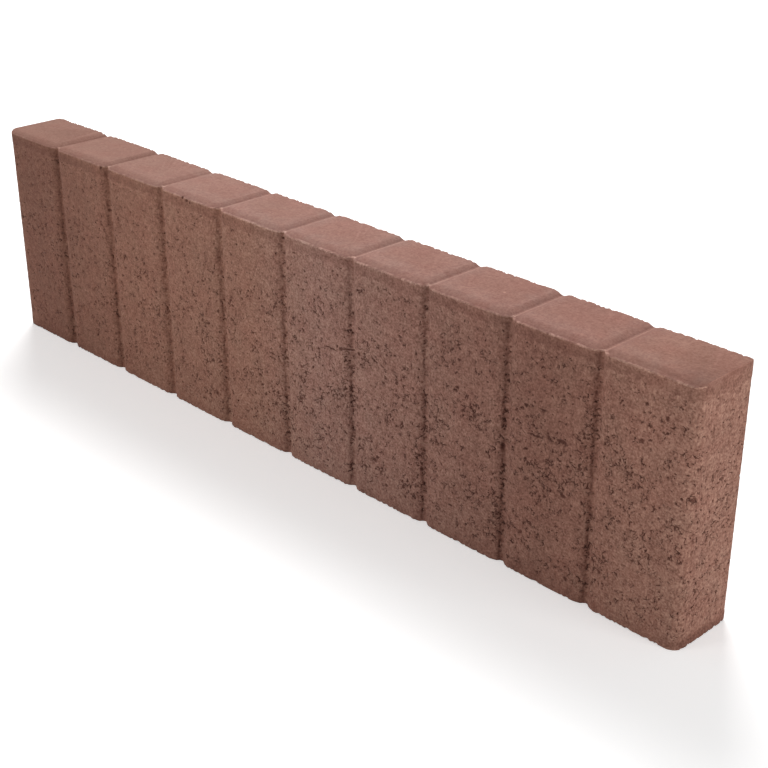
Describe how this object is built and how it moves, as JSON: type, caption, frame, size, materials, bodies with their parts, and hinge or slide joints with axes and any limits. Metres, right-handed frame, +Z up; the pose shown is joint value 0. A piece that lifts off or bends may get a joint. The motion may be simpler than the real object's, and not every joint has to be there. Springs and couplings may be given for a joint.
{
  "type": "concrete edging strip",
  "caption": "Straight one-piece precast concrete garden edging strip, shaped as a row of square-headed palisades with upright grooves in the face, bevelled heads and a plain back.",
  "frame": {"origin": "middle of the flat bed face, at the strip's lowest point", "axes": "+X runs along the strip, +Y through its thickness, +Z up from the bed face to the heads"},
  "size_m": [1, 0.075, 0.25],
  "materials": {
    "brown_concrete": "pressed dry-cast concrete, through-coloured red-brown, open pitted sides and a closer, paler head"
  },
  "bodies": {
    "root": {"edging_strip": "brown_concrete"}
  },
  "joints": []
}
